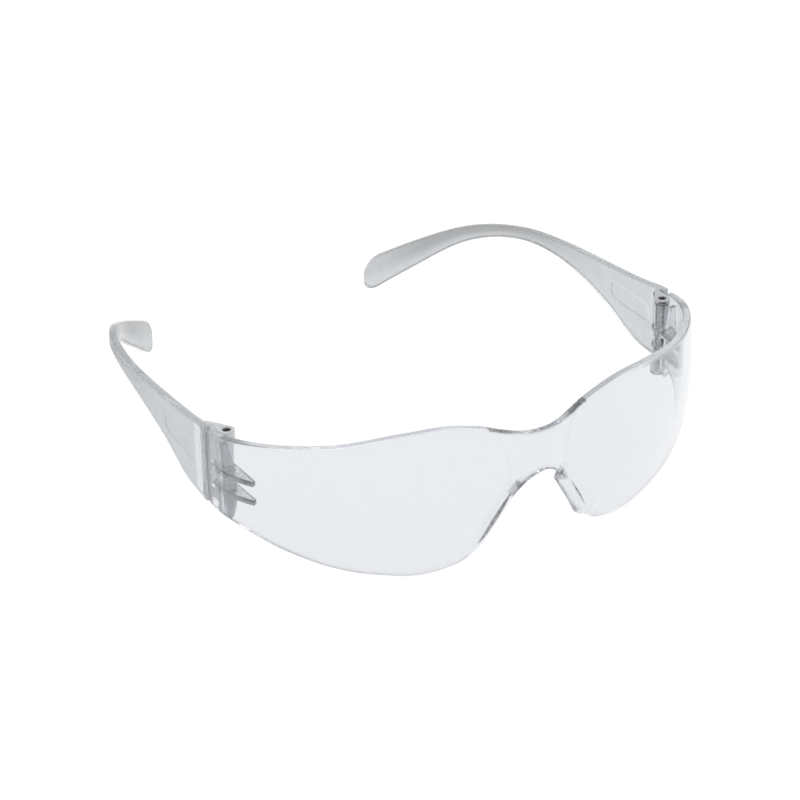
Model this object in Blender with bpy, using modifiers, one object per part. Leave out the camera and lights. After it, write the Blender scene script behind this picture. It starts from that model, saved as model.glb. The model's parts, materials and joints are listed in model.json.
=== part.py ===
# Wraparound safety glasses: a one-piece clear lens shield, two temples and the screws they hinge on.
# The glasses stand on the ground as they are laid on a table, looking toward -Y, with the temples open
# toward +Y. The origin is on the ground at the middle of their box. Lengths are in metres.

import math

import bmesh
import bpy
import numpy as np
from mathutils import Vector

mm = 0.001

# lens shield, seen from above: a field arc each side of the bridge, then a tighter wrap to the temple
fieldRadius = 65.5 * mm          # outer face of a lens field
fieldOffset = 13 * mm          # middle plane to where each field's arc starts
wrapStart = math.radians(46.5)   # how far the field arc turns before it tightens
wrapEase = 28 * mm             # length over which it tightens
wrapRadius = 23.5 * mm           # radius at the temple
wrapEnd = math.radians(94.3)     # direction of the shield at its rear edge
lensWall = 2.1 * mm

# lens shield, seen from the side
crownHeight = 27.5 * mm          # height at which the shield stands furthest out
crownRadius = 69 * mm          # vertical radius of the fields
sideCrownRadius = 180 * mm     # vertical radius at the temples

# the shield's two edges: distance from the middle along the outer face, and height above the ground
browLine = [(0, 38.1), (5, 38.3), (9, 39.2), (17, 42.0), (25, 43.6), (38, 43.4), (56, 41.0), (70, 39.7), (84, 38.4)]
browEnd = 37.0                 # height of the brow line at the rear edge, in millimetres
cheekLine = [(0, 26.5), (3.2, 25.2), (6.8, 21.5), (11.7, 13.8), (16.1, 6.3), (20, 2.6), (25, 0.9), (33, 0.0),
             (44, 1.6), (56, 4.4), (69, 9.1), (80, 13.3)]
cheekEnd = 15.9                # height of the lower edge at the rear edge, in millimetres

# bridge: a ridge that stands forward of the fields and meets them at a crease
bridgeRise = 2.4 * mm
creaseHalf = 8.3 * mm          # middle plane to the crease, low on the bridge
creaseFlare = 30.0             # how the crease opens towards the brow, per metre of height squared

# nose flange along each lens's inner edge
flangeTop = 7.8 * mm           # where it starts and ends, measured as along the edges above
flangeBottom = 16.8 * mm
flangeDepthTop = 3.5 * mm      # how far it reaches back from the outer face
flangeDepthBottom = 2.2 * mm
flangeFlare = 2.2 * mm         # how far it leans in to the nose
flangeWall = 1.9 * mm

# hinge
hingeTop = 37.4 * mm           # height of the cap's flat top over the barrel
barrelBottom = 14.2 * mm
barrelRadius = 2.0 * mm
pinSetback = 4.0 * mm          # hinge axis to the shield's rear edge, along the shield
runningGap = 0.3 * mm          # between pieces that move on or past each other
screwRadius = 0.75 * mm
screwHeadRadius = 0.95 * mm
screwHeadHeight = 0.9 * mm
screwHeadDrop = 0.5 * mm       # head below the barrel's top
screwTipHeight = 17.0 * mm
slotWidth = 0.35 * mm
slotDepth = 0.35 * mm

# lugs: two ribs inside the shield that end in a knuckle, and the wall in front of the barrel
lugHeights = [22.0 * mm, 27.4 * mm]
lugThickness = 1.6 * mm
lugReach = 13.2 * mm           # hinge axis to the ribs' front ends
lugTipWidth = 0.8 * mm
lugTail = 3.3 * mm             # hinge axis to the knuckles' rear ends
stopWallThickness = 1.3 * mm
stopWallTop = 35.8 * mm
stopWallReach = 1.1 * mm       # how far it reaches in past the hinge axis, at its widest
stopWallDrop = 0.9 * mm        # its tip hangs below the shield's lower edge
stopWallBelly = 7.5 * mm       # tip to the start of its widest length
stopWallShoulder = 3.0 * mm    # the upper rib to the end of its widest length

# temple, seen from above, in the order of its bends
frontEase = 12 * mm            # turns from the shield's direction to straight back
straightLength = 15 * mm
straightTurn = math.radians(92)   # direction of the straight length
bendEase = 38 * mm             # curvature grows to the ear bend's
earRadius = 72.5 * mm
earLength = 35.5 * mm
tipLength = 15 * mm
templeWall = 2.3 * mm
tipCorner = 3.0 * mm
edgeRound = 0.45 * mm

# temple, seen from the side: heights of its upper and lower edge, in millimetres, at the front edge, after the
# front ease, after the straight, halfway along and at the end of the bend's ease, halfway along and at the end
# of the ear bend, and at the tip
templeUpper = [37.3, 35.8, 34.4, 32.9, 31.0, 26.6, 18.6, 10.9]
templeLower = [15.9, 17.0, 23.1, 27.6, 27.6, 22.2, 10.6, 0.0]

# web between the barrel and the temple's plate, and the flat cap over it
webThickness = 1.9 * mm
webLength = 6.6 * mm           # hinge axis to the web's rear end
webGap = 0.6 * mm              # web to the shield's inner face
capThickness = 1.5 * mm
capLength = 6.8 * mm
capOverhang = 0.05 * mm        # the cap stands out over the barrel and the web

gridStep = 2.7 * mm            # spacing of the surfaces' grid
heightSteps = 13


# ---------------------------------------------------------------- plan paths and edge lines

def walk(start, heading, bends, step=0.1 * mm):
    """Follows bends of (length, curvature at start, curvature at end) and returns a path as arrays."""
    along, curvature = [0.0], []
    total = 0.0
    for length, first, last in bends:
        count = max(1, int(round(length / step)))
        for i in range(count):
            part = (i + 0.5) / count
            curvature.append(first + (last - first) * part)
            along.append(total + length * (i + 1) / count)
        total += length
    along = np.array(along)
    steps = np.diff(along)
    turn = heading + np.concatenate([[0], np.cumsum(np.array(curvature) * steps)])
    middle = (turn[1:] + turn[:-1]) / 2
    x = start[0] + np.concatenate([[0], np.cumsum(np.cos(middle) * steps)])
    y = start[1] + np.concatenate([[0], np.cumsum(np.sin(middle) * steps)])
    return {"along": along, "x": x, "y": y, "turn": turn, "length": total}


def pathPoint(path, s, outward=0.0):
    """Point at s along a path, moved outward, which is to the right of the path's direction."""
    turn = np.interp(s, path["along"], path["turn"])
    x = np.interp(s, path["along"], path["x"]) + math.sin(turn) * outward
    y = np.interp(s, path["along"], path["y"]) - math.cos(turn) * outward
    return float(x), float(y), float(turn)


def smoothLine(knots):
    """Height along a line as a smooth curve through its knots, in the knots' units."""
    s = np.array([k[0] for k in knots], float)
    h = np.array([k[1] for k in knots], float)
    slope = np.gradient(h, s)
    slope[0] = 0.0 if s[0] == 0 else slope[0]

    def height(at):
        i = int(np.clip(np.searchsorted(s, at) - 1, 0, len(s) - 2))
        width = s[i + 1] - s[i]
        t = (at - s[i]) / width
        a = (1 + 2 * t) * (1 - t) ** 2
        b = t * t * (3 - 2 * t)
        return a * h[i] + b * h[i + 1] + width * (t * (1 - t) ** 2 * slope[i] - t * t * (1 - t) * slope[i + 1])
    return height


fieldArc = wrapStart * fieldRadius
easeTurn = wrapEase * (1 / fieldRadius + 1 / wrapRadius) / 2
wrapArc = (wrapEnd - wrapStart - easeTurn) * wrapRadius
shieldPath = walk((0, 0), 0, [(fieldOffset, 0, 0), (fieldArc, 1 / fieldRadius, 1 / fieldRadius),
                              (wrapEase, 1 / fieldRadius, 1 / wrapRadius), (wrapArc, 1 / wrapRadius, 1 / wrapRadius)])
shieldLength = shieldPath["length"]
brow = smoothLine(browLine + [(shieldLength / mm, browEnd)])
cheek = smoothLine(cheekLine + [(shieldLength / mm, cheekEnd)])


def shieldPoint(s, z, depth=0.0):
    """Point of the shield at s along it and at height z, the given depth below its outer face."""
    ease = float(np.clip((s - fieldOffset) / (shieldLength - fieldOffset), 0, 1)) ** 3
    radius = crownRadius + (sideCrownRadius - crownRadius) * ease
    sag = radius - math.sqrt(radius ** 2 - (z - crownHeight) ** 2)
    crease = creaseHalf + creaseFlare * max(0.0, z - crownHeight) ** 2
    t = min(1.0, s / crease)
    rise = bridgeRise * ((1 - t * t) + (1 + math.cos(math.pi * t)) / 2) / 2
    x, y, _ = pathPoint(shieldPath, s, rise - sag - depth)
    return x, y, z


# the hinge axis stands inside the shield, clear of its wall from top to bottom
lowSag = sideCrownRadius - math.sqrt(sideCrownRadius ** 2 - (crownHeight - barrelBottom) ** 2)
pinStation = shieldLength - pinSetback
pinX, pinY, _ = pathPoint(shieldPath, pinStation, -(lensWall + lowSag + runningGap + barrelRadius))

# the temple starts behind the shield's rear edge, its outer face in line with the shield's
rearX, rearY, rearTurn = pathPoint(shieldPath, shieldLength, -templeWall / 2)
templeStart = (rearX + math.cos(rearTurn) * runningGap, rearY + math.sin(rearTurn) * runningGap)
templePath = walk(templeStart, rearTurn, [
    (frontEase, 2 * (straightTurn - rearTurn) / frontEase, 0), (straightLength, 0, 0),
    (bendEase, 0, 1 / earRadius), (earLength, 1 / earRadius, 1 / earRadius), (tipLength, 0, 0)])
templeLength = templePath["length"]
bendStart = frontEase + straightLength
earStart = bendStart + bendEase
stations = [0, frontEase, bendStart, bendStart + bendEase / 2, earStart, earStart + earLength / 2,
            earStart + earLength, templeLength]
upperEdge = smoothLine([(s / mm, h) for s, h in zip(stations, templeUpper)])
lowerEdge = smoothLine([(s / mm, h) for s, h in zip(stations, templeLower)])

# everything is moved so that the origin is at the middle of the glasses' length
frontEnd = -bridgeRise
backEnd = pathPoint(templePath, templeLength, -templeWall / 2)[1]
middleY = (frontEnd + backEnd) / 2


# ---------------------------------------------------------------- helpers

for item in list(bpy.data.objects):
    bpy.data.objects.remove(item)


def newCollection(name):
    group = bpy.data.collections.new(name)
    bpy.context.scene.collection.children.link(group)
    return group


parts = newCollection("safety_glasses")
cutters = newCollection("cutters")


def newMaterial(name, colour, roughness, metallic=0.0):
    material = bpy.data.materials.new(name)
    material.use_nodes = True
    shader = material.node_tree.nodes["Principled BSDF"]
    shader.inputs["Base Color"].default_value = (*colour, 1)
    shader.inputs["Roughness"].default_value = roughness
    shader.inputs["Metallic"].default_value = metallic
    return material


clearPlastic = newMaterial("clear_polycarbonate", (0.80, 0.83, 0.86), 0.05)
frostedPlastic = newMaterial("frosted_polycarbonate", (0.66, 0.68, 0.69), 0.45)
screwSteel = newMaterial("screw_steel", (0.42, 0.42, 0.43), 0.3, 1.0)


def addMesh(name, mesh, group, material=None):
    item = bpy.data.objects.new(name, mesh)
    group.objects.link(item)
    if material:
        mesh.materials.append(material)
    if group is cutters:
        item.hide_render = True
        item.display_type = "WIRE"
    return item


def gridSheet(name, columns, rows, place, group):
    """A grid whose vertex in column i and row j lies at place(i, j)."""
    work = bmesh.new()
    bmesh.ops.create_grid(work, x_segments=columns, y_segments=rows, size=1)
    for vertex in work.verts:
        i = round((vertex.co.x + 1) / 2 * columns)
        j = round((vertex.co.y + 1) / 2 * rows)
        vertex.co = place(i, j)
    mesh = bpy.data.meshes.new(name)
    work.to_mesh(mesh)
    work.free()
    return addMesh(name, mesh, group)


def flatPlate(name, outline, thickness, centre, turned=False):
    """A flat outline, closed and extruded about a centre; turned stands it up in the XZ plane."""
    curve = bpy.data.curves.new(name, "CURVE")
    curve.dimensions = "2D"
    curve.fill_mode = "BOTH"
    curve.extrude = thickness / 2
    spline = curve.splines.new("POLY")
    spline.points.add(len(outline) - 1)
    for point, (a, b) in zip(spline.points, outline):
        point.co = (a, b, 0, 1)
    spline.use_cyclic_u = True
    item = bpy.data.objects.new(name, curve)
    cutters.objects.link(item)
    if turned:
        item.rotation_euler.x = math.radians(90)
    item.location = centre
    bpy.context.view_layer.update()
    evaluated = item.evaluated_get(bpy.context.evaluated_depsgraph_get())
    mesh = bpy.data.meshes.new_from_object(evaluated)
    work = bmesh.new()
    work.from_mesh(mesh)
    bmesh.ops.remove_doubles(work, verts=work.verts, dist=0.00001)
    bmesh.ops.recalc_face_normals(work, faces=work.faces)
    work.to_mesh(mesh)
    work.free()
    plate = bpy.data.objects.new(name + "_solid", mesh)
    plate.matrix_world = item.matrix_world.copy()
    cutters.objects.link(plate)
    plate.hide_render = True
    plate.display_type = "WIRE"
    bpy.data.objects.remove(item)
    return plate


def turned(name, profile, centre, group, steps=32, material=None):
    """A closed turned solid: the profile runs down its outer side, from the axis back to the axis."""
    mesh = bpy.data.meshes.new(name)
    mesh.from_pydata([(r, 0, z) for r, z in profile], [(i, i + 1) for i in range(len(profile) - 1)], [])
    item = addMesh(name, mesh, group, material)
    item.location = centre
    screw = item.modifiers.new("turn", "SCREW")
    screw.steps = screw.render_steps = steps
    screw.use_merge_vertices = True
    screw.merge_threshold = 0.00001
    screw.use_normal_calculate = False
    return item


def combine(target, operation, other):
    modifier = target.modifiers.new(operation.lower() + "_" + other.name, "BOOLEAN")
    modifier.operation = operation
    modifier.solver = "EXACT"
    modifier.object = other


def applyAll(item):
    """Turns an object's modifiers into its mesh."""
    bpy.context.view_layer.update()
    evaluated = item.evaluated_get(bpy.context.evaluated_depsgraph_get())
    mesh = bpy.data.meshes.new_from_object(evaluated)
    item.modifiers.clear()
    item.data = mesh
    # a Boolean may drop a sliver of three edges, which is put back
    work = bmesh.new()
    work.from_mesh(mesh)
    bmesh.ops.holes_fill(work, edges=[edge for edge in work.edges if edge.is_boundary], sides=4)
    work.to_mesh(mesh)
    work.free()


def smoothShade(item, angle=35):
    item.data.shade_smooth()
    item.data.set_sharp_from_angle(angle=math.radians(angle))


# ---------------------------------------------------------------- lens shield

columns = int(round(shieldLength / gridStep))


def shieldPlace(i, j):
    # the columns lie closer together towards the middle, where the bridge and the nose edges bend
    part = i / columns
    s = shieldLength * (0.62 * part + 0.38 * part ** 2)
    low, high = cheek(s / mm) * mm, brow(s / mm) * mm
    x, y, z = shieldPoint(s, low + (high - low) * j / heightSteps)
    return x, y - middleY, z


shield = gridSheet("lens_shield", columns, heightSteps, shieldPlace, parts)
shield.data.materials.append(clearPlastic)
mirror = shield.modifiers.new("mirror", "MIRROR")
mirror.merge_threshold = 0.00002
mirror.use_clip = True
shell = shield.modifiers.new("wall", "SOLIDIFY")
shell.thickness = lensWall
shell.offset = -1
shell.use_even_offset = True
applyAll(shield)
rounding = shield.modifiers.new("rim", "BEVEL")
rounding.width = edgeRound
rounding.segments = 2
rounding.limit_method = "ANGLE"
rounding.angle_limit = math.radians(50)
rounding.use_clamp_overlap = True
applyAll(shield)


def noseFlange(side):
    """The flange behind a lens's inner edge: four-sided sections lofted down the edge."""
    count = 12
    work = bmesh.new()
    rings = []
    for i in range(count + 1):
        part = i / count
        s = flangeTop + (flangeBottom - flangeTop) * part
        z = cheek(s / mm) * mm + 0.15 * mm
        depth = flangeDepthTop + (flangeDepthBottom - flangeDepthTop) * part
        flare = flangeFlare * min(1.0, 0.35 + 2.5 * part, 0.35 + 2.5 * (1 - part))
        fx, fy, _ = shieldPoint(s, z, 0.5 * mm)
        ox, oy, _ = shieldPoint(s, z)
        section = [(fx + 0.15 * mm, fy), (ox - flare, oy + depth), (ox - flare + flangeWall, oy + depth + 0.1 * mm),
                   (fx + flangeWall + 1.6 * mm, fy + 0.5 * mm)]
        rings.append([work.verts.new((side * x, y - middleY, z)) for x, y in section])
    for lower, upper in zip(rings[1:], rings):
        for k in range(4):
            work.faces.new((upper[k], upper[(k + 1) % 4], lower[(k + 1) % 4], lower[k]))
    work.faces.new(rings[0])
    work.faces.new(rings[-1])
    bmesh.ops.recalc_face_normals(work, faces=work.faces)
    mesh = bpy.data.meshes.new("nose_flange")
    work.to_mesh(mesh)
    work.free()
    return addMesh("nose_flange", mesh, cutters)


def stationAt(y):
    """Where along the shield its wall passes a given distance behind the front."""
    middle = shieldPath["along"] > fieldOffset
    return float(np.interp(y, shieldPath["y"][middle], shieldPath["along"][middle]))


def lugOutline():
    """A rib's outline: along inside the shield's wall, round the knuckle, and straight to the rib's front end."""
    first, last = stationAt(pinY - lugReach), stationAt(pinY + 0.4 * lugTail)
    outline = [shieldPoint(s, lugHeights[1], lensWall / 2)[:2] for s in np.linspace(first, last, 9)]
    knuckle = barrelRadius
    outline.append((pinX + 0.75 * knuckle, pinY + 0.7 * lugTail))
    outline.append((pinX + 0.45 * knuckle, pinY + lugTail))
    outline.append((pinX - 0.55 * knuckle, pinY + lugTail))
    for degrees in (150, 165, 180, 195, 210):
        angle = math.radians(degrees)
        outline.append((pinX + knuckle * math.cos(angle), pinY + knuckle * math.sin(angle)))
    outline.append(shieldPoint(first, lugHeights[1], lensWall + lugTipWidth)[:2])
    return outline


def boreCutter(name, side, radius, low, high):
    profile = [(0, high), (radius, high), (radius, low), (0, low)]
    return turned(name, profile, (side * pinX, pinY - middleY, 0), cutters, 24)


screwHeadTop = hingeTop - screwHeadDrop
boreRadius = screwRadius + runningGap
for side, name in ((1, "left"), (-1, "right")):
    combine(shield, "UNION", noseFlange(side))
    for height in lugHeights:
        outline = [(side * x, y - middleY) for x, y in lugOutline()]
        combine(shield, "UNION", flatPlate("lug_" + name, outline, lugThickness, (0, 0, height)))
    wallY = pinY - barrelRadius - runningGap - stopWallThickness / 2
    wallX = shieldPoint(stationAt(wallY), crownHeight, lensWall / 2)[0]
    foot = cheek(stationAt(wallY) / mm) * mm
    inner = pinX - stopWallReach
    fin = [(wallX, foot + 0.3 * mm), (pinX + 0.6 * mm, foot - stopWallDrop), (pinX, foot - stopWallDrop),
           (inner + 0.1 * mm, foot + stopWallBelly / 3), (inner, foot + stopWallBelly),
           (inner + 0.9 * mm, lugHeights[1] + stopWallShoulder), (pinX + 0.7 * mm, stopWallTop),
           (wallX, stopWallTop)]
    combine(shield, "UNION", flatPlate("stop_wall_" + name, [(side * x, z) for x, z in fin], stopWallThickness,
                                       (0, wallY - middleY, 0), turned=True))
    combine(shield, "DIFFERENCE", boreCutter("lug_bore_" + name, side, boreRadius, barrelBottom, hingeTop))
applyAll(shield)
smoothShade(shield)


# ---------------------------------------------------------------- temples

mainColumns = int(round((templeLength - tipCorner) / gridStep))
cornerColumns = 5


def templePlace(side):
    def place(i, j):
        # past the last main column the two corners of the tip follow quarter circles
        round90 = math.radians(90) * max(0, i - mainColumns) / cornerColumns
        s = (templeLength - tipCorner) * min(1.0, i / mainColumns) + tipCorner * math.sin(round90)
        inset = tipCorner * (1 - math.cos(round90))
        low, high = lowerEdge(s / mm) * mm, upperEdge(s / mm) * mm
        z = low + inset + (high - low - 2 * inset) * j / 6
        x, y, _ = pathPoint(templePath, s)
        return side * x, y - middleY, z
    return place


def fromPin(points, side):
    return [(side * (pinX + x), pinY + y - middleY) for x, y in points]


lensInnerX = shieldPoint(shieldLength, barrelBottom, lensWall)[0] - pinX
lensRearY = shieldPoint(shieldLength, crownHeight)[1] - pinY
plateInnerX = pathPoint(templePath, 1.5 * mm, -templeWall / 2)[0] - pinX
webOuter = lensInnerX - webGap
webFront = lensRearY + runningGap + 0.25 * mm
webOutline = [(0.3 * barrelRadius, 0.1 * mm), (webOuter, 0.1 * mm), (webOuter, webFront),
              (plateInnerX + 0.4 * templeWall, webFront + 0.4 * mm),
              (plateInnerX + 0.3 * templeWall, webLength), (webOuter - webThickness + 0.9 * mm, webLength - 1.2 * mm),
              (webOuter - webThickness, webFront - 1.0 * mm)]
capRadius = barrelRadius + capOverhang
capNose = [math.radians(degrees) for degrees in range(30, -211, -30)]
capOutline = [(capRadius * math.cos(angle), capRadius * math.sin(angle)) for angle in capNose]
capOutline += [(plateInnerX - 0.2 * mm, capLength), (plateInnerX + 0.35 * templeWall, capLength),
               (plateInnerX + 0.45 * templeWall, webFront + 0.45 * mm), (webOuter + capOverhang, webFront)]


def hingeCutter(side, name):
    """One turned cutter: the screw's bore, its head's recess, and the slots that the shield's lugs turn in."""
    slotRadius = lugTail + runningGap + 0.2 * mm
    recessRadius = screwHeadRadius + runningGap
    recessFloor = screwHeadTop - screwHeadHeight - runningGap
    profile = [(0, hingeTop + 1 * mm), (recessRadius, hingeTop + 1 * mm), (recessRadius, recessFloor),
               (boreRadius, recessFloor)]
    for height in sorted(lugHeights, reverse=True):
        half = lugThickness / 2 + runningGap
        profile += [(boreRadius, height + half), (slotRadius, height + half), (slotRadius, height - half),
                    (boreRadius, height - half)]
    profile += [(boreRadius, barrelBottom - 1 * mm), (0, barrelBottom - 1 * mm)]
    return turned("hinge_bore_" + name, profile, (side * pinX, pinY - middleY, 0), cutters, 36)


temples = {}
for side, name in ((1, "left"), (-1, "right")):
    temple = gridSheet("temple_" + name, mainColumns + cornerColumns, 6, templePlace(side), parts)
    temple.data.materials.append(frostedPlastic)
    shell = temple.modifiers.new("wall", "SOLIDIFY")
    shell.thickness = templeWall
    shell.offset = 0
    applyAll(temple)
    rounding = temple.modifiers.new("edges", "BEVEL")
    rounding.width = edgeRound
    rounding.segments = 2
    rounding.limit_method = "ANGLE"
    rounding.angle_limit = math.radians(50)
    applyAll(temple)
    barrelTop = hingeTop - 0.4 * capThickness
    barrelProfile = [(0, barrelTop), (barrelRadius, barrelTop), (barrelRadius, barrelBottom + edgeRound),
                     (barrelRadius - 0.3 * edgeRound, barrelBottom + 0.3 * edgeRound),
                     (barrelRadius - edgeRound, barrelBottom), (0, barrelBottom)]
    barrel = turned("barrel_" + name, barrelProfile, (side * pinX, pinY - middleY, 0), cutters)
    webLow = lowerEdge(0) * mm + 0.6 * mm
    webTop = hingeTop - 0.6 * capThickness
    web = flatPlate("web_" + name, fromPin(webOutline, side), webTop - webLow, (0, 0, (webTop + webLow) / 2))
    cap = flatPlate("cap_" + name, fromPin(capOutline, side), capThickness, (0, 0, hingeTop - capThickness / 2))
    for piece in (web, cap):
        combine(barrel, "UNION", piece)
    combine(barrel, "DIFFERENCE", hingeCutter(side, name))
    applyAll(barrel)
    combine(temple, "UNION", barrel)
    applyAll(temple)
    smoothShade(temple)
    temples[name] = temple
    # the temple turns about its object's origin, which is moved onto the hinge axis
    axisPoint = Vector((side * pinX, pinY - middleY, 0))
    for vertex in temple.data.vertices:
        vertex.co -= axisPoint
    temple.location = axisPoint


# ---------------------------------------------------------------- hinge screws

for side, name in ((1, "left"), (-1, "right")):
    under = screwHeadTop - screwHeadHeight
    profile = [(0, screwHeadTop), (screwHeadRadius - 0.2 * mm, screwHeadTop),
               (screwHeadRadius, screwHeadTop - 0.2 * mm), (screwHeadRadius, under), (screwRadius, under),
               (screwRadius, screwTipHeight + 0.5 * mm), (screwRadius - 0.3 * mm, screwTipHeight), (0, screwTipHeight)]
    screwItem = turned("hinge_screw_" + name, profile, (side * pinX, pinY - middleY, 0), parts, 24, screwSteel)
    bpy.ops.mesh.primitive_cube_add(size=1, location=(side * pinX, pinY - middleY, screwHeadTop))
    slot = bpy.context.object
    slot.name = "driver_slot_" + name
    slot.dimensions = (4 * screwHeadRadius, slotWidth, 2 * slotDepth)
    for group in list(slot.users_collection):
        group.objects.unlink(slot)
    cutters.objects.link(slot)
    slot.hide_render = True
    slot.display_type = "WIRE"
    combine(screwItem, "DIFFERENCE", slot)
    applyAll(screwItem)
    smoothShade(screwItem)
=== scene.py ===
# Clear wraparound safety glasses: smooth mouldings, threaded hinge screws, finishes, studio and camera,
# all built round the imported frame. Lengths are in metres; the lens looks toward -Y, the temples run to +Y.

import json
import math

import bpy
import numpy as np
from mathutils import Matrix, Vector


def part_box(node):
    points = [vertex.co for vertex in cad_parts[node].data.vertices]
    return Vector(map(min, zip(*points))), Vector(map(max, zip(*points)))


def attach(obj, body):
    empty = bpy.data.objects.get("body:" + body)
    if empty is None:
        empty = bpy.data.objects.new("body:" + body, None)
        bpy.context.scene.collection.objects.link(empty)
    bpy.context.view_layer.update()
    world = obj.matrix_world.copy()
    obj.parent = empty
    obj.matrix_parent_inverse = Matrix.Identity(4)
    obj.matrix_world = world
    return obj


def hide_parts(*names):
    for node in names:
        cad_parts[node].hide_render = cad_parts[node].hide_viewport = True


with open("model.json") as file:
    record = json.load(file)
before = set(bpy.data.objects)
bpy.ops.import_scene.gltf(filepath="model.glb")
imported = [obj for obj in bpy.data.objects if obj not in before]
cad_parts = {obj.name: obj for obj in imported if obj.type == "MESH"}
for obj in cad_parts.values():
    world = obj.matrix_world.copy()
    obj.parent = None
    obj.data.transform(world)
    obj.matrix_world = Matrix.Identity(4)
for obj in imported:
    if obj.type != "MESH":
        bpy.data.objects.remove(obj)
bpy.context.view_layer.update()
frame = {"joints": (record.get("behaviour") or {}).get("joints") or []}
mm = 0.001

# where the frame puts things: the left hinge's axis and the left screw's two ends
pinX, pinY = next(joint["pos_m"][:2] for joint in frame["joints"] if joint["name"] == "left_hinge")
screwLow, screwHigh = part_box("hinge_screw_left")
screwDrop = 0.5 * mm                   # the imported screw's head lies this far under the cap's flat top
hingeTop = screwHigh.z + screwDrop
print("frame: pins at", round(pinX / mm, 2), round(pinY / mm, 2), "mm")


# plan paths and edge lines

def planPath(start, heading, bends, step=0.05 * mm):
    # direction is the running sum of curvature, which changes evenly along each (length, first, last) bend;
    # x and y are the running sums of the direction's cosine and sine
    ends = np.cumsum([0] + [bend[0] for bend in bends])
    along = np.linspace(0, ends[-1], int(ends[-1] / step))
    curvature = np.zeros_like(along)
    for (length, first, last), begin in zip(bends, ends):
        inside = (along >= begin) & (along <= begin + length)
        curvature[inside] = first + (last - first) * (along[inside] - begin) / length

    def runningSum(values):
        return np.concatenate([[0], np.cumsum((values[1:] + values[:-1]) / 2 * (along[1] - along[0]))])

    turn = heading + runningSum(curvature)
    x = start[0] + runningSum(np.cos(turn))
    y = start[1] + runningSum(np.sin(turn))
    return {"along": along, "x": x, "y": y, "turn": turn, "length": float(ends[-1])}


def pathAt(path, s, outward=0.0):
    # the path's point at s, moved to the right of its direction by the outward distance
    turn = np.interp(s, path["along"], path["turn"])
    x = np.interp(s, path["along"], path["x"]) + np.sin(turn) * outward
    y = np.interp(s, path["along"], path["y"]) - np.cos(turn) * outward
    return x, y


def hermite(t):
    # a cubic Hermite curve's weights: first and last place, first and last slope
    return (1 + 2 * t) * (1 - t) ** 2, t * t * (3 - 2 * t), t * (1 - t) ** 2, -t * t * (1 - t)


def smoothLine(knots):
    # cubic Hermite curve through the knots, level at the first one, its slope at each other one taken from
    # the knots on either side
    s, z = np.array(knots, float).T
    slope = np.gradient(z, s)
    slope[0] = 0.0

    def height(at):
        at = np.asarray(at, float) / mm
        i = np.clip(np.searchsorted(s, at) - 1, 0, len(s) - 2)
        width = s[i + 1] - s[i]
        a, b, c, d = hermite((at - s[i]) / width)
        return (a * z[i] + b * z[i + 1] + width * (c * slope[i] + d * slope[i + 1])) * mm
    return height


def smoothStep(low, high, value):
    t = np.clip((np.asarray(value, float) - low) / (high - low), 0, 1)
    return t * t * (3 - 2 * t)


def fade(low, high, value):
    return 1 - smoothStep(low, high, value)


def drawnIn(radius, past):
    # how far a quarter circle lies inside its corner, past being the share of the radius gone by
    return radius * (1 - np.sqrt(1 - np.clip(past, 0, 1) ** 2))


# edge lines are (distance from the middle along the outer face, height), in millimetres
shieldShape = {
    "fieldRadius": 65.5 * mm, "fieldOffset": 13 * mm, "wrapStart": math.radians(46.5), "wrapEase": 28 * mm,
    "wrapRadius": 23.5 * mm, "wrapEnd": math.radians(94.3), "wall": 2.1 * mm,
    "crownHeight": 27.5 * mm, "crownRadius": 69 * mm, "sideCrownRadius": 180 * mm,
    "brow": [(0, 38.1), (5, 38.3), (9, 39.2), (17, 42.0), (25, 43.6), (38, 43.4), (56, 41.0), (70, 39.7),
             (84, 38.4)],
    "browEnd": 37.0,
    "cheek": [(0, 26.5), (3.2, 25.2), (6.8, 21.5), (11.7, 13.8), (16.1, 6.3), (20, 2.6), (25, 0.9), (33, 0.0),
              (44, 1.6), (56, 4.4), (69, 9.1), (80, 13.3)],
    "cheekEnd": 15.9,
    "bridgeRise": 2.4 * mm, "creaseHalf": 8.3 * mm, "creaseFlare": 30.0,
    "edgeRound": 0.55 * mm, "cornerRound": 2.2 * mm,
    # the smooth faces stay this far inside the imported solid's box
    "inside": 0.07 * mm, "lowerInside": 0.2 * mm, "upperInside": 0.11 * mm,
}
hingeShape = {
    "barrelRadius": 2.0 * mm, "barrelBottom": 14.2 * mm, "pinSetback": 4.0 * mm, "gap": 0.3 * mm,
    "boreRadius": 1.05 * mm, "knuckleBore": 0.68 * mm, "recessRadius": 1.22 * mm,
    "lugHeights": [22.0 * mm, 27.4 * mm], "lugThickness": 1.6 * mm, "lugReach": 13.2 * mm,
    "lugTipWidth": 0.8 * mm, "lugTail": 3.3 * mm,
    "wallThickness": 1.3 * mm, "wallTop": 35.8 * mm, "wallReach": 1.1 * mm,
    "capThickness": 1.5 * mm, "capTopThickness": 0.3 * mm, "capOverlap": 0.05 * mm, "capEdge": 0.12 * mm,
    "capLength": 6.8 * mm,
    "webLength": 6.6 * mm, "webThickness": 1.9 * mm, "webGap": 0.6 * mm, "webFront": 0.25 * mm,
}

p = shieldShape
h = hingeShape
fieldArc = p["wrapStart"] * p["fieldRadius"]
easeTurn = p["wrapEase"] * (1 / p["fieldRadius"] + 1 / p["wrapRadius"]) / 2
wrapArc = (p["wrapEnd"] - p["wrapStart"] - easeTurn) * p["wrapRadius"]
shieldPath = planPath((0, 0), 0, [
    (p["fieldOffset"], 0, 0), (fieldArc, 1 / p["fieldRadius"], 1 / p["fieldRadius"]),
    (p["wrapEase"], 1 / p["fieldRadius"], 1 / p["wrapRadius"]),
    (wrapArc, 1 / p["wrapRadius"], 1 / p["wrapRadius"])])
shieldLength = shieldPath["length"]
browLine = smoothLine(p["brow"] + [(shieldLength / mm, p["browEnd"])])
cheekLine = smoothLine(p["cheek"] + [(shieldLength / mm, p["cheekEnd"])])


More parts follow.
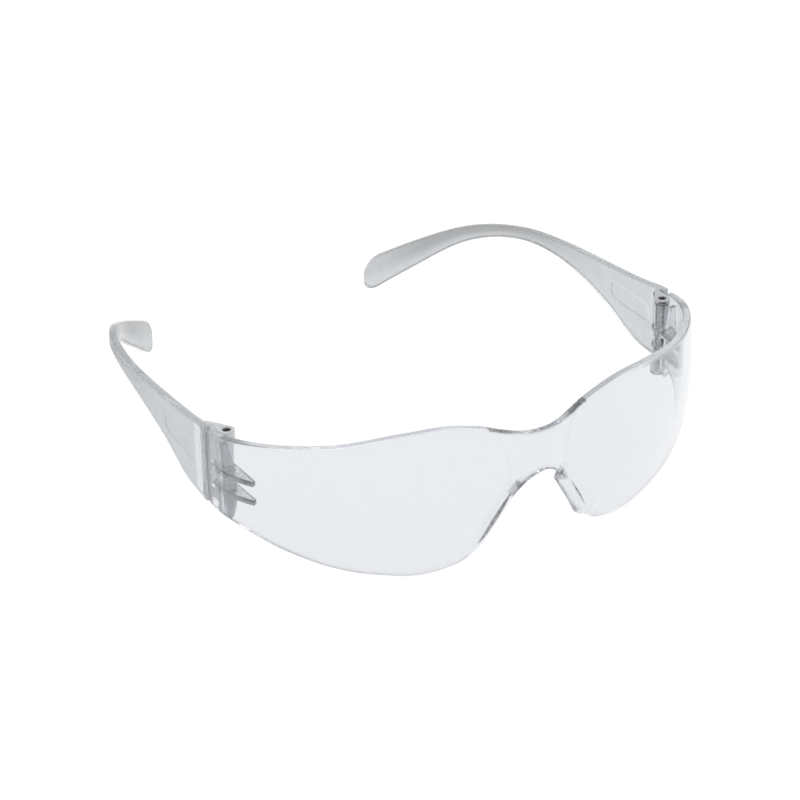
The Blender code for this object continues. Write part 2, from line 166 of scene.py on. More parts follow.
def brow(s):
    return browLine(s) - p["upperInside"]


def cheek(s):
    return cheekLine(s) + p["lowerInside"]


def arc(radius, angle):
    # points of a circle round 0, 0
    return np.stack([radius * np.cos(angle), radius * np.sin(angle)], -1)


def creaseAt(z):
    # the crease's distance from the middle grows with the square of the height over the crown
    return p["creaseHalf"] + p["creaseFlare"] * np.maximum(0.0, z - p["crownHeight"]) ** 2


def shieldPoint(s, z, depth=0.0):
    # plan path moved out by the bridge's ridge and in by the vertical crown's sag and by the depth below the
    # face; the ridge is half parabola, half cosine across the bridge and ends in a crease
    ease = np.clip((s - p["fieldOffset"]) / (shieldLength - p["fieldOffset"]), 0, 1) ** 3
    radius = p["crownRadius"] + (p["sideCrownRadius"] - p["crownRadius"]) * ease
    sag = radius - np.sqrt(radius ** 2 - (z - p["crownHeight"]) ** 2)
    t = np.minimum(1.0, np.abs(s) / creaseAt(z))
    rise = p["bridgeRise"] * ((1 - t * t) + (1 + np.cos(np.pi * t)) / 2) / 2
    x, y = pathAt(shieldPath, s, rise - sag - depth - p["inside"])
    return np.stack([x, y, z + 0 * x], axis=-1)


def shieldAt(s, z, depth=0.0):
    # the same for one point
    return shieldPoint(np.array([s]), z, depth)[0]


# the path's own origin is moved so that its hinge axis falls on the frame's
crownDrop = p["crownHeight"] - h["barrelBottom"]
lowSag = p["sideCrownRadius"] - math.sqrt(p["sideCrownRadius"] ** 2 - crownDrop ** 2)
pathPinX, pathPinY = pathAt(shieldPath, shieldLength - h["pinSetback"],
                            -(p["wall"] + lowSag + h["gap"] + h["barrelRadius"]))
shift = np.array([0.0, pinY - float(pathPinY), 0.0])
print("path's pin is off the frame's by", round((float(pathPinX) - pinX) / mm, 4), "mm")


# meshes from arrays

creaseAngle = math.radians(50)         # faces that meet more sharply than this show an edge


def addPiece(name, points, faces, material, body, slot, replaced=(), marks=()):
    # the faces are turned over together if the volume that they enclose comes out negative;
    # marks are (name, value for each point) for the finish to read
    points = np.asarray(points, float).reshape(-1, 3)
    faces = [np.asarray(face).reshape(-1, np.shape(face)[-1]) for face in faces]
    volume = 0.0
    for face in faces:
        for k in range(1, face.shape[1] - 1):
            a, b, c = points[face[:, 0]], points[face[:, k]], points[face[:, k + 1]]
            volume += float(np.einsum("ij,ij->i", a, np.cross(b, c)).sum()) / 6
    loops = []
    for face in faces:
        loops += (face[:, ::-1] if volume < 0 else face).tolist()
    mesh = bpy.data.meshes.new(name)
    mesh.from_pydata(points.tolist(), [], loops)
    mesh.update()
    mesh.shade_smooth()
    mesh.set_sharp_from_angle(angle=creaseAngle)
    mesh.materials.append(material)
    for mark, values in marks:
        attribute = mesh.attributes.new(mark, "FLOAT", "POINT")
        attribute.data.foreach_set("value", np.ravel(values).astype(np.float32))
    item = bpy.data.objects.new(name, mesh)
    bpy.context.scene.collection.objects.link(item)
    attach(item, body)
    for node in replaced:
        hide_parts(node)
    return item


def gridFaces(rows, columns, wrapRows=False):
    # quads between neighbouring rows and columns of a grid numbered row by row, whose columns run round
    i = np.arange(rows if wrapRows else rows - 1)[:, None]
    j = np.arange(columns)[None, :]
    i2, j2 = (i + 1) % rows, (j + 1) % columns
    corners = [i * columns + j, i * columns + j2, i2 * columns + j2, i2 * columns + j]
    return np.stack(corners, -1).reshape(-1, 4)


def ladderCap(first, count, flip):
    # closes a thin ring: each point is joined to the one across from it
    j = np.arange(count // 2 - 1)
    quads = np.stack([j, j + 1, count - 2 - j, count - 1 - j], -1) + first
    return quads[:, ::-1] if flip else quads


def flatCap(first, count, flip):
    ring = np.arange(count)[None, :] + first
    return ring[:, ::-1] if flip else ring


def sweptPiece(name, rings, cap, *rest, marks=()):
    # rings of points, each joined to the next, with both ends closed
    rows, columns = rings.shape[0], rings.shape[1]
    faces = [gridFaces(rows, columns), cap(0, columns, True), cap((rows - 1) * columns, columns, False)]
    return addPiece(name, rings, faces, *rest, marks=marks)


def roundedChain(corners, radii, samples, closed=False):
    # a polyline whose corners are replaced by parabolas that start and end at the radius from the corner,
    # or just short of a side's middle where the radius is longer
    corners = np.asarray(corners, float)
    count = len(corners)
    t = np.linspace(0, 1, samples)[:, None]
    pieces = [] if closed else [corners[:1]]
    for k in (range(count) if closed else range(1, count - 1)):
        before, here, after = corners[k - 1], corners[k], corners[(k + 1) % count]
        back, on = before - here, after - here
        reach = min(radii[k], 0.48 * np.linalg.norm(back), 0.48 * np.linalg.norm(on))
        a = here + back / np.linalg.norm(back) * reach
        b = here + on / np.linalg.norm(on) * reach
        pieces.append((1 - t) ** 2 * a + 2 * t * (1 - t) * here + t * t * b)
    if not closed:
        pieces.append(corners[-1:])
    return np.concatenate(pieces)


def evenly(outline, spacing):
    # a closed outline with points added along its long straight edges
    result = []
    for a, b in zip(outline, np.roll(outline, -1, axis=0)):
        count = max(1, int(np.linalg.norm(b - a) / spacing))
        result.append(a + (b - a) * np.arange(count)[:, None] / count)
    return np.concatenate(result)


def insetOutline(outline, distance):
    # every point moved to the left of the outline's direction there
    along = np.roll(outline, -1, axis=0) - np.roll(outline, 1, axis=0)
    along = along / np.linalg.norm(along, axis=1)[:, None]
    return outline + np.stack([-along[:, 1], along[:, 0]], -1) * distance


def turnedRight(outline):
    # anticlockwise, so that its left side is its inside
    x, y = outline[:, 0], outline[:, 1]
    area = float((x * np.roll(y, -1) - np.roll(x, -1) * y).sum())
    return outline if area > 0 else outline[::-1]


def hingePoints(flat, z, side):
    # a plan outline round the pin, set at its height on one side
    return np.stack([side * (pinX + flat[:, 0]), pinY + flat[:, 1], z + 0 * flat[:, 0]], -1)


# shader building

def arithmetic(operation):
    # the method for Wire (op) other, and the one for other (op) Wire
    return (lambda wire, other: wire.combine(operation, wire, other),
            lambda wire, other: wire.combine(operation, other, wire))


class Wire:
    # an output of a node; arithmetic on wires adds Math nodes
    def __init__(self, finish, socket):
        self.finish, self.socket = finish, socket

    def combine(self, operation, *values):
        return self.finish.add("ShaderNodeMath", {"operation": operation}, dict(enumerate(values)))

    __add__, __radd__ = arithmetic("ADD")
    __sub__, __rsub__ = arithmetic("SUBTRACT")
    __mul__, __rmul__ = arithmetic("MULTIPLY")
    __pow__, __rpow__ = arithmetic("POWER")
    __gt__, __lt__ = arithmetic("GREATER_THAN")

    def over(self, low, high):
        # smooth rise from 0 at low to 1 at high
        limits = {"From Min": low, "From Max": high, "To Min": 0.0, "To Max": 1.0}
        return self.finish.add("ShaderNodeMapRange", {"interpolation_type": "SMOOTHSTEP"},
                               {"Value": self, **limits})

    def size(self):
        return self.combine("ABSOLUTE", self)

    def larger(self, other):
        return self.combine("MAXIMUM", self, other)


class Finish:
    # a material or the world, and the one method that adds its nodes
    def __init__(self, name, world=None):
        owner = world or bpy.data.materials.new(name)
        owner.use_nodes = True
        self.material, self.tree = owner, owner.node_tree
        self.tree.nodes.clear()

    def add(self, kind, settings=None, inputs=None, output=0):
        node = self.tree.nodes.new(kind)
        for key, value in (settings or {}).items():
            if key == "stops":
                for element, (place, colour) in zip(node.color_ramp.elements, value):
                    element.position = place
                    element.color = (*colour, 1)
            else:
                setattr(node, key, value)
        for key, value in (inputs or {}).items():
            if isinstance(value, Wire):
                self.tree.links.new(value.socket, node.inputs[key])
            else:
                node.inputs[key].default_value = value
        return Wire(self, node.outputs[output]) if len(node.outputs) else None

    def outputs(self, kind, *names, inputs=None):
        # the named outputs of one node
        node = self.add(kind, {}, inputs).socket.node
        return [Wire(self, node.outputs[name]) for name in names]

    def place(self, kind="Object"):
        # object coordinates, or a world's directions, and their three parts
        spot = self.outputs("ShaderNodeTexCoord", kind)[0]
        return spot, self.outputs("ShaderNodeSeparateXYZ", "X", "Y", "Z", inputs={0: spot})

    def mark(self, name):
        # the value that the mesh keeps at each point
        return self.add("ShaderNodeAttribute", {"attribute_name": name}, output=2)

    def noise(self, spot, scale, detail=3.0, roughness=0.5):
        return self.add("ShaderNodeTexNoise", {"noise_dimensions": "3D"},
                        {"Vector": spot, "Scale": scale, "Detail": detail, "Roughness": roughness})

    def tones(self, share, low, high, stops=(0.3, 0.7)):
        # a colour that goes from low to high between the two stops
        return self.add("ShaderNodeValToRGB", {"stops": list(zip(stops, (low, high)))}, {"Fac": share})

    def mixed(self, share, *colours):
        # from the first colour to the second; each is a wire or three numbers
        first, second = [colour if isinstance(colour, Wire) else (*colour, 1) for colour in colours]
        return self.add("ShaderNodeMix", {"data_type": "RGBA"}, {0: share, 6: first, 7: second}, output=2)

    def bump(self, height, distance, normal=None):
        inputs = {"Height": height, "Distance": distance, "Strength": 1.0}
        if normal is not None:
            inputs["Normal"] = normal
        return self.add("ShaderNodeBump", {}, inputs)

    def plastic(self, look, colour, roughness, normal, transmission=1.0):
        # a see-through moulding: lamps shine through, and the inside takes off a little light for each
        # millimetre crossed
        surface = self.add("ShaderNodeBsdfPrincipled", {}, {
            "Base Color": colour, "Roughness": roughness, "IOR": polycarbonate["ior"],
            "Transmission Weight": transmission, "Normal": normal})
        path = self.outputs("ShaderNodeLightPath", "Is Shadow Ray")[0]
        clear = self.add("ShaderNodeBsdfTransparent", {}, {"Color": (*polycarbonate["shadow"], 1)})
        both = self.add("ShaderNodeMixShader", {}, {0: path, 1: surface, 2: clear})
        inside = self.add("ShaderNodeVolumeAbsorption", {}, {"Color": (*look["tint"], 1),
                                                             "Density": look["density"]})
        self.add("ShaderNodeOutputMaterial", {}, {"Surface": both, "Volume": inside})
        return self.material


polycarbonate = {"ior": 1.585, "shadow": (0.9, 0.9, 0.9)}
# the second and third colours are painted shade, for the rear edges' band and for the rims and roots
clearLook = {"tint": (0.55, 0.63, 0.70), "density": 3.0, "body": (0.785, 0.802, 0.832),
             "strip": (0.13, 0.136, 0.148), "dark": (0.045, 0.046, 0.05),
             "waves": 22.0, "haze": 60.0, "specks": 900.0, "grain": 2200.0, "waveDepth": 0.02 * mm,
             "grainDepth": 0.01 * mm, "polished": 0.004, "rimRough": 0.16,
             "rearStrip": 1.7 * mm, "stripSoft": 0.12 * mm, "lineWidth": 0.14 * mm, "lineDepth": 0.035 * mm}


def shieldPlastic():
    # polished faces with a faint haze, specks and flow waves; ground rims; a matt moulded band along each
    # rear edge, its colour darkened as painted shade; raised lines at the crease and the flange's blend;
    # painted shade on the rims at the bridge, the arch and the corners and in a band along the flanges' roots
    finish = Finish("clear polycarbonate")
    q = clearLook
    spot = finish.place()[0]
    haze = finish.noise(spot, q["haze"], 4.0).over(0.45, 0.8)
    specks = finish.noise(spot, q["specks"], 2.0)
    polish = haze * 0.02 + specks.over(0.68, 0.78) * 0.12 + q["polished"]
    wave = finish.bump(finish.noise(spot, q["waves"], 1.0), q["waveDepth"])
    grain = finish.noise(spot, q["grain"], 2.0)
    # painted shade: a band along the rear edge, darkened in colour and also matt
    strip = 1 - finish.mark("fromRear").over(q["rearStrip"] - q["stripSoft"], q["rearStrip"] + q["stripSoft"])
    matt = finish.mark("rim").larger(strip * 0.5)
    crease, blend = [1 - finish.mark(name).size().over(0.2 * q["lineWidth"], q["lineWidth"])
                     for name in ("fromCrease", "fromBlend")]
    edge = finish.bump(crease + blend * 0.5, q["lineDepth"], wave)
    # painted shade on the rims and along the flanges' roots
    dark = finish.mark("dark").larger(1 - finish.mark("fromRoot").over(-0.1 * mm, 0.08 * mm))
    # the body colour takes the painted shade of the rear band, then that of the rims and roots
    body = finish.mixed(strip * (grain * 0.3 + 0.75), q["body"], q["strip"])
    body = finish.mixed(dark * (specks * 0.7 + 0.6), body, q["dark"])
    return finish.plastic(q, body, polish + matt * q["rimRough"],
                          finish.bump(grain * matt, q["grainDepth"], edge))


# the first colour is painted shade on the ribs and the grain's mottle on the stop walls
ribLook = {"streak": (0.05, 0.052, 0.056), "plain": {"ribs": (0.92, 0.925, 0.935),
                                                     "stop walls": (0.91, 0.918, 0.93)},
           "tool": 1400.0, "broad": 450.0, "depth": 0.05 * mm, "tail": (0.8 * mm, 2.6 * mm)}


def mouldedPlastic(name):
    # ribs and stop walls keep the mould's grain; the ribs have painted shade along the sides, under their top
    # faces, beside their lower edges and toward their tails, mottled by the grain
    finish = Finish("clear polycarbonate " + name)
    q = ribLook
    spot, (x, y, z) = finish.place()
    toolMarks = finish.noise(spot, q["tool"], 3.0)
    mottle = (toolMarks * 0.5 + finish.noise(spot, q["broad"], 2.0) * 0.5).over(0.38, 0.60)
    if name == "ribs":
        low, high = h["lugHeights"]
        half = h["lugThickness"] / 2
        level = z - low - (z > (low + high) / 2) * (high - low)
        # painted shade: a band under each rib's top face, one beside its lower edge, and more toward its tail
        upper = level.over(-0.05 * half, 0.25 * half) * (1 - level.over(0.80 * half, 0.95 * half))
        under = 1 - level.over(-0.85 * half, -0.65 * half)
        tail = (y - pinY).over(*q["tail"]) * (mottle * 0.4 + 0.25)
        streak = (upper * (mottle * 0.75 + 0.25) + under * (mottle * 0.5 + 0.3)).larger(tail)
    else:
        streak = mottle * 0.15
    return finish.plastic(clearLook, finish.mixed(streak, q["plain"][name], q["streak"]),
                          toolMarks * 0.2 + 0.02, finish.bump(toolMarks, q["depth"]))


# ejector rings are (distance behind the pin, height), in millimetres
# hook and under are painted shade colours, for the temples' hooks and lower rims
frostLook = {"tint": (0.50, 0.56, 0.62), "density": 14.0, "low": (0.65, 0.674, 0.692),
             "high": (0.73, 0.748, 0.766), "hook": (0.41, 0.418, 0.428), "under": (0.14, 0.145, 0.15),
             "grain": 2600.0, "grainDepth": 0.03 * mm, "mottle": 300.0, "mottleDepth": 0.04 * mm,
             "haze": 90.0, "rough": 0.42, "polished": 0.06,
             "rings": [(10.2, 32.8), (8.4, 30.2), (10.8, 19.8)], "ringRadius": 1.0 * mm,
             "ringWidth": 0.12 * mm, "ringDepth": 0.04 * mm,
             "hookStart": (-5 * mm, 45 * mm), "hookEnd": (62 * mm, 77 * mm)}


def templePlastic():
    # the outer face is frosted behind its boundary line, and the inner face and the edges are polished;
    # three ejector pins have left rings on the inner face
    finish = Finish("frosted polycarbonate temple")
    q = frostLook
    spot, (x, y, z) = finish.place()
    outer = finish.mark("outerFace")
    grain = finish.noise(spot, q["grain"], 3.0, 0.6)
    mottle = finish.noise(spot, q["mottle"])
    haze = finish.noise(spot, q["haze"])
    roughness = outer * (mottle * 0.10 + (q["rough"] - 0.05)) + (1 - outer) * (haze * 0.06 + q["polished"])
    rings = []
    for away, height in q["rings"]:
        far = ((y - (pinY + away * mm)) ** 2.0 + (z - height * mm) ** 2.0) ** 0.5
        rings.append(1 - (far - q["ringRadius"]).size().over(0.3 * q["ringWidth"], q["ringWidth"]))
    ringed = rings[0].larger(rings[1]).larger(rings[2])
    pins = finish.bump(ringed * finish.mark("innerFace"), -q["ringDepth"])
    fine = finish.bump(grain * outer, q["grainDepth"], pins)
    coarse = finish.bump(mottle * outer, q["mottleDepth"], fine)
    # the hooks are darker than the arms as painted shade, most of all along their upper half
    share = finish.mark("heightShare")
    hook = y.over(*q["hookStart"]) * (1 - y.over(*q["hookEnd"]) * 0.6)
    hook = hook * (share.over(0.05, 0.7) * 0.75 + 0.25)
    grainAndShade = finish.mixed(hook, finish.tones(mottle, q["low"], q["high"]), q["hook"])
    # painted shade along the lower rim
    colour = finish.mixed(finish.mark("underEdge") * 0.75, grainAndShade, q["under"])
    return finish.plastic(q, colour, roughness, coarse)


# low and high are the mottle's two tones; the left one is clearer
hingeLook = {"mottle": 900.0, "haze": 150.0, "depth": 0.04 * mm, "foot": (0.50, 0.51, 0.53),
             "low": {1: (0.70, 0.715, 0.735), -1: (0.88, 0.888, 0.897)},
             "high": {1: (0.84, 0.85, 0.87), -1: (0.95, 0.955, 0.96)}, "transmission": {1: 1.0, -1: 0.55}}


def hingePlastic(side):
    # the left knuckles and web are half polished, with the mould's grain in the bore and on the lowest
    # knuckle; the right ones are grained all over
    finish = Finish("frosted polycarbonate hinge " + sideName[side])
    q = hingeLook
    spot, (x, y, z) = finish.place()
    mottle = finish.noise(spot, q["mottle"])
    foot = 1 - (z - h["lugHeights"][0]).over(-3.5 * mm, -0.5 * mm)
    roughness, grains = mottle * 0.15 + 0.32, mottle
    if side > 0:
        radial = ((x - pinX) ** 2.0 + (y - pinY) ** 2.0) ** 0.5
        grained = (1 - radial.over(1.28 * mm, 1.34 * mm)).larger(foot * 0.6)
        polish = finish.noise(spot, q["haze"]) * 0.08 + 0.05
        roughness, grains = grained * roughness + (1 - grained) * polish, mottle * grained
    # the lowest knuckle's colour is darker towards the bottom
    colour = finish.mixed(foot * 0.6, finish.tones(mottle, q["low"][side], q["high"][side]), q["foot"])
    return finish.plastic(frostLook, colour, roughness, finish.bump(grains, q["depth"]),
                          q["transmission"][side])


capLook = {"mottle": 1600.0, "depth": 0.05 * mm, "low": (0.57, 0.58, 0.59), "high": (0.66, 0.67, 0.68),
           "transmission": 0.5}


def capPlastic():
    # the cap's top is frosted and lets less light through
    finish = Finish("frosted polycarbonate cap")
    q = capLook
    mottle = finish.noise(finish.place()[0], q["mottle"])
    return finish.plastic(frostLook, finish.tones(mottle, q["low"], q["high"]), mottle * 0.15 + 0.35,
                          finish.bump(mottle, q["depth"]), q["transmission"])


# the left screw is darker than the right one; both heads are near black
steelLook = {"low": {1: (0.32, 0.32, 0.33), -1: (0.86, 0.86, 0.87)}, "head": (0.05, 0.05, 0.055),
             "high": {1: (0.80, 0.80, 0.80), -1: (0.96, 0.96, 0.96)}, "stain": 1500.0, "turned": 9000.0,
             "depth": 0.02 * mm, "headLine": (-0.9 * mm, -0.7 * mm)}


def screwSteel(side):
    finish = Finish("screw steel " + sideName[side])
    q = steelLook
    spot, (x, y, z) = finish.place()
    stain = finish.noise(spot, q["stain"], 4.0)
    turnedMarks = finish.add("ShaderNodeTexNoise", {"noise_dimensions": "1D"},
                             {"W": z * q["turned"], "Scale": 1.0, "Detail": 2.0})
    shank = finish.tones(stain, q["low"][side], q["high"][side], (0.36, 0.60))
    colour = finish.mixed((z - screwHigh.z).over(*q["headLine"]), shank, q["head"])
    surface = finish.add("ShaderNodeBsdfPrincipled", {}, {
        "Base Color": colour, "Roughness": stain * 0.2 + 0.22, "Metallic": 1.0,
        "Normal": finish.bump(turnedMarks, q["depth"])})
    finish.add("ShaderNodeOutputMaterial", {}, {"Surface": surface})
    return finish.material


sideName = {1: "left", -1: "right"}
clear = shieldPlastic()
ribbed = mouldedPlastic("ribs")
walled = mouldedPlastic("stop walls")
frosted = templePlastic()
capped = capPlastic()
hinged = {1: hingePlastic(1), -1: hingePlastic(-1)}
steel = {1: screwSteel(1), -1: screwSteel(-1)}
print("materials made")


# lens shield: one closed surface whose section loop runs round the wall and, beside the nose, round a flange

lensGrid = {"columns": 190, "cornerColumns": 12, "faceRows": 64, "rimSamples": 5, "upperSamples": 7}
flangeShape = {"top": 4.4 * mm, "bottom": 19.0 * mm, "ramp": 3.2 * mm, "depthTop": 3.5 * mm,
               "depthBottom": 2.4 * mm, "flare": 2.0 * mm, "wall": 1.7 * mm, "fillet": 1.5 * mm,
               "innerRound": 0.4 * mm, "tipRound": 0.5 * mm, "rootRound": 0.7 * mm, "blend": 5.4 * mm}
# rims with painted shade: each place is in distances along the edge, and each share is how deep the shade is
markShape = {"bridgeEnd": (0.4 * mm, 0.8 * mm), "bridgeShare": 0.3,
             "shoulder": (-5.6 * mm, -2.2 * mm, 0.5 * mm, 0.9 * mm), "shoulderShare": 0.7,
             "archEnd": (6.0 * mm, 6.5 * mm), "archShare": 0.4,
             "corner": (5.0 * mm, 5.4 * mm, 7.8 * mm, 8.2 * mm), "cornerShare": 0.6, "cornerReach": 0.6 * mm,
             "flangeEndShare": 0.45, "edge": (0.25 * mm, 0.6 * mm), "lineShare": 0.16,
             "root": {1: (0.85 * mm, 0.32 * mm), -1: (1.45 * mm, 0.80 * mm)}, "rootInset": 3 * mm}


def edgeSlope(line, s):
    step = 0.02 * mm
    low = np.maximum(s - step, 0)
    slope = (line(s + step) - line(low)) / (s + step - low)
    slope[0] = 0.0
    return slope


def lensHalf():
    # columns are spaced by the lower edge's own length, so that the grid's lines leave it square; returns
    # each column's lower and upper point and its direction at both
    n, corner = lensGrid["columns"], lensGrid["cornerColumns"]
    main = shieldLength - p["cornerRound"]
    dense = np.linspace(0, main, 6000)
    run = np.concatenate([[0], np.cumsum(np.hypot(np.diff(dense), np.diff(cheek(dense))))])
    part = np.linspace(0, 1, n)
    part = 0.75 * part + 0.25 * part ** 2
    sLow = np.interp(part * run[-1], run, dense)
    sHigh = main * (0.8 * part + 0.2 * part ** 2)
    lowSlope, highSlope = edgeSlope(cheek, sLow), edgeSlope(brow, sHigh)
    inward = np.stack([-lowSlope, np.ones(n)], -1) / np.hypot(lowSlope, 1)[:, None]
    down = np.stack([highSlope, -np.ones(n)], -1) / np.hypot(highSlope, 1)[:, None]
    # past the last main column the two rear corners follow quarter circles, on upright lines
    angle = np.linspace(0, math.pi / 2, corner + 1)[1:]
    sRear = main + p["cornerRound"] * np.sin(angle)
    inset = p["cornerRound"] * (1 - np.cos(angle))
    upright = np.tile([[0.0, 1.0]], (corner, 1))
    low = [np.stack([sLow, cheek(sLow)], -1), np.stack([sRear, cheek(sRear) + inset], -1)]
    high = [np.stack([sHigh, brow(sHigh)], -1), np.stack([sRear, brow(sRear) - inset], -1)]
    return [np.concatenate(parts) for parts in (low, high, [inward, upright], [down, -upright])]


def rimChains(s):
    # both rims as (distance in from the edge, depth below the outer face); along the nose the lower one
    # swells into the flange's hook, whose depth changes evenly
    w, r, q = p["wall"], p["edgeRound"], flangeShape
    swell = 0.9 * mm                   # the lower rim's inner side reaches further in by this
    plain = roundedChain([(swell + 1.9 * r, w), (swell + r, w), (0, w), (0, w / 2), (0, 0), (1.9 * r, 0)],
                         [0, 0.1 * mm, r, 0.1 * mm, r, 0], lensGrid["rimSamples"])
    hooks = [roundedChain(
        [(q["wall"] + q["fillet"] + 0.6 * mm, w), (q["wall"] - 0.2 * q["flare"] + 0.1 * mm, w),
         (q["wall"] - q["flare"], depth), (-q["flare"], depth), (0, 0), (1.9 * r, 0)],
        [0, q["fillet"], q["innerRound"], q["tipRound"], q["rootRound"], 0], lensGrid["rimSamples"])
        for depth in (q["depthTop"], q["depthBottom"])]
    weight = smoothStep(q["top"], q["top"] + q["ramp"], s) * fade(q["bottom"] - q["ramp"], q["bottom"], s)
    along = np.clip((s - q["top"]) / (q["bottom"] - q["top"]), 0, 1)[:, None, None]
    hook = hooks[0] * (1 - along) + hooks[1] * along
    lower = plain * (1 - weight[:, None, None]) + hook * weight[:, None, None]
    upper = roundedChain([(1.9 * r, 0), (0, 0), (0, w), (1.9 * r, w)], [0, r, r, 0], lensGrid["upperSamples"])
    return lower, upper


def lensMarks(s, topAway, flat, distances, depths, lower, upper, outer):
    # what the finish reads: the ground rims, the painted shade on the rims, and the distances from the rear
    # edge, the crease, the flange's blend and the painted shade band along its root
    q, m, w = flangeShape, markShape, p["wall"]

    def sheets(low, high):
        # values round the loop: lower rim, outer face, upper rim, inner face
        return np.concatenate([low + 0 * lower[..., 0], 0 * outer, high + np.zeros((len(s), len(upper))),
                               0 * outer], 1)

    def between(places, value):
        return smoothStep(*places[:2], value) * fade(*places[2:], value)

    flange = (q["top"], q["top"] + 1 * mm, q["bottom"] - 1 * mm, q["bottom"])
    rim = sheets(between(flange, s)[:, None], smoothStep(-0.3 * mm, 0.3 * mm, topAway)[:, None])
    # painted shade on the upper rim near the bridge and shoulders, on the lower rim at the arch's end, the
    # corners and past the flanges' ends, and as a thin line along the upper rim's inner side
    topShade = (m["bridgeShare"] * fade(*m["bridgeEnd"], topAway)
               + m["shoulderShare"] * between(m["shoulder"], topAway))
    corner = between(m["corner"], s)
    lowShade = fade(*m["archEnd"], s) * m["archShare"] + corner * m["cornerShare"]
    flangeEnd = smoothStep(q["bottom"] - 1 * mm, q["bottom"] + 1 * mm, s) * m["flangeEndShare"]
    lowShade = np.maximum(lowShade, flangeEnd)
    onLowEdge = fade(*m["edge"], lower[..., 0] - corner[:, None] * m["cornerReach"])
    away, below = upper.T
    topLine = smoothStep(0.62 * w, 0.8 * w, below) * fade(0.1 * mm, 0.4 * mm, away) * m["lineShare"]
    onTopEdge = np.maximum(topShade[:, None] * fade(*m["edge"], away), topLine[None, :])
    # the root's painted shade band is on the outer face, wider on the right, and its half width swells and
    # dies away along the flange
    share = (s - q["top"] - m["rootInset"]) / (q["bottom"] - q["top"] - 2 * m["rootInset"])
    share = np.clip(share, 0, 1)
    swell = np.where((share > 0) & (share < 1), np.sin(math.pi * share) ** 0.6, -1)[:, None]
    root = {side: np.where(depths < 0.05 * mm, np.abs(distances - centre) - half * swell, 1 * mm)
            for side, (centre, half) in m["root"].items()}
    # the blend ends on the wall along an arch that is widest halfway down
    arch = np.sqrt(np.sin(math.pi * np.clip((s - q["top"]) / (q["bottom"] + 2 * mm - q["top"]), 0, 1)))
    fromBlend = distances - (q["blend"] * arch)[:, None] + np.where(arch > 0.02, 0, 1 * mm)[:, None]
    same = {"rim": rim, "dark": sheets(lowShade[:, None] * onLowEdge, onTopEdge),
            "fromRear": shieldLength - flat[..., 0], "fromCrease": flat[..., 0] - creaseAt(flat[..., 1]),
            "fromBlend": fromBlend}
    return {**same, "fromRoot": root[1]}, {**same, "fromRoot": root[-1]}


def lensRings():
    # each column is a cubic Hermite curve from the lower edge to the brow; the faces and rims lie along it
    w, r = p["wall"], p["edgeRound"]
    lowPoint, highPoint, inward, down = lensHalf()
    s = lowPoint[:, 0]
    length = np.linalg.norm(highPoint - lowPoint, axis=1)
    lower, upper = rimChains(s)
    # faces: the share of the way from the lower to the upper rim, closer together near the rims
    f = np.linspace(0, 1, lensGrid["faceRows"])[1:-1]
    f = (f - 0.35 * np.sin(2 * math.pi * f) / (2 * math.pi))[None, :]
    end = length - upper[0, 0]
    outer, inner = [start[:, None] + (end - start)[:, None] * f
                    for start in (lower[:, -1, 0], lower[:, 0, 0])]
    high = np.tile(upper[:, 0], (len(s), 1))
    distances = np.concatenate([lower[..., 0], outer, length[:, None] - high, inner[:, ::-1]], 1)
    depths = np.concatenate([lower[..., 1], 0 * outer, np.tile(upper[:, 1], (len(s), 1)), 0 * inner + w], 1)
    t = distances / length[:, None]
    a, b, c, d = [weight[..., None] for weight in hermite(t)]
    curve = (a * lowPoint[:, None] + b * highPoint[:, None]
             + length[:, None, None] * (c * inward[:, None] - d * down[:, None]))
    straight = lowPoint[:, None] + inward[:, None] * distances[..., None]
    flat = np.where((t < 0)[..., None], straight, curve)
    # the rear edge is rounded by drawing the wall in from both faces
    drawn = drawnIn(r, (s - (shieldLength - r)) / r)[:, None]
    depths = drawn + depths * (w - 2 * drawn) / w
    points = shieldPoint(flat[..., 0], flat[..., 1], depths) + shift
    topAway = highPoint[:, 0] - creaseAt(highPoint[:, 1])
    left, right = lensMarks(s, topAway, flat, distances, depths, lower, upper, outer)
    # each ring starts at the middle of its lower rim, so that the end caps join outer to inner points
    first = -(lower.shape[1] // 2)
    points = np.roll(points, first, axis=1)
    marks = [(mark, np.concatenate([np.roll(right[mark], first, axis=1)[1:][::-1],
                                    np.roll(left[mark], first, axis=1)])) for mark in left]
    return np.concatenate([points[1:][::-1] * np.array([-1.0, 1.0, 1.0]), points]), marks


lensPoints, lensValues = lensRings()
lens = sweptPiece("lensShield", lensPoints, ladderCap, clear, "shield", "clear_polycarbonate",
                  ["lens_shield"], marks=lensValues)
print("lens shield:", len(lens.data.polygons), "faces")


# hinge details moulded on the shield: two ribs with knuckles each side, and the wall in front of the barrel

def stationAt(y):
    middle = shieldPath["along"] > p["fieldOffset"]
    return float(np.interp(y - shift[1], shieldPath["y"][middle], shieldPath["along"][middle]))


def lugOutline(height):
    # along inside the wall, round the knuckle's tail, and straight to the rib's blunt front end; pin at 0, 0
    first, last = stationAt(pinY - h["lugReach"]), stationAt(pinY + 0.4 * h["lugTail"])
    bed = p["wall"] - 0.25 * mm

    def planAt(stations, depth):
        return shieldPoint(stations, height, depth)[:, :2] + shift[:2] - (pinX, pinY)

    wall = planAt(np.linspace(first, last, 24), bed)
    k = h["barrelRadius"]
    tail = roundedChain([wall[-1], (0.75 * k, 0.8 * h["lugTail"]), (0.4 * k, h["lugTail"]),
                         (-0.55 * k, h["lugTail"]), (-0.97 * k, 0.35 * k), (-k, 0)],
                        [0, 0.5 * mm, 0.5 * mm, 0.6 * mm, 0.5 * mm, 0], 5)
    barrel = arc(k, np.radians(np.linspace(185, 212, 6)))
    front = planAt(np.array([first]), p["wall"] + h["lugTipWidth"])
    return evenly(turnedRight(np.concatenate([wall, tail[1:], barrel, front])), 0.35 * mm)


